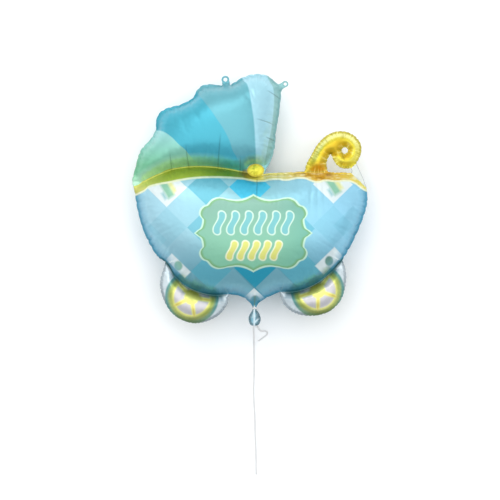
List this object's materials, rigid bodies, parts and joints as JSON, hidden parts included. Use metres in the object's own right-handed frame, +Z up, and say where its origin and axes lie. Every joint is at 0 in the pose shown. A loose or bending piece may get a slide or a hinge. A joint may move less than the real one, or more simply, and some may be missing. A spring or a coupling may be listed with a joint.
{
  "type": "foil balloon",
  "caption": "Pram-shaped foil balloon, inflated and lying on its back, with hanging tabs, a tied filling tail and a length of curling ribbon.",
  "frame": {"origin": "middle of the balloon's footprint, on the floor it lies on", "axes": "+X to the pram's front, its handle side; +Y to the top of the hood; +Z up, out of the printed front"},
  "size_m": [0.7296, 1.2597, 0.2411],
  "materials": {
    "printed_foil": "pearly metallised film with a soft gloss",
    "ribbon": "satin plastic ribbon"
  },
  "bodies": {
    "root": {"balloon": "printed_foil", "ribbon": "ribbon", "ribbon_end": "ribbon", "ribbon_knot": "ribbon"}
  },
  "joints": []
}
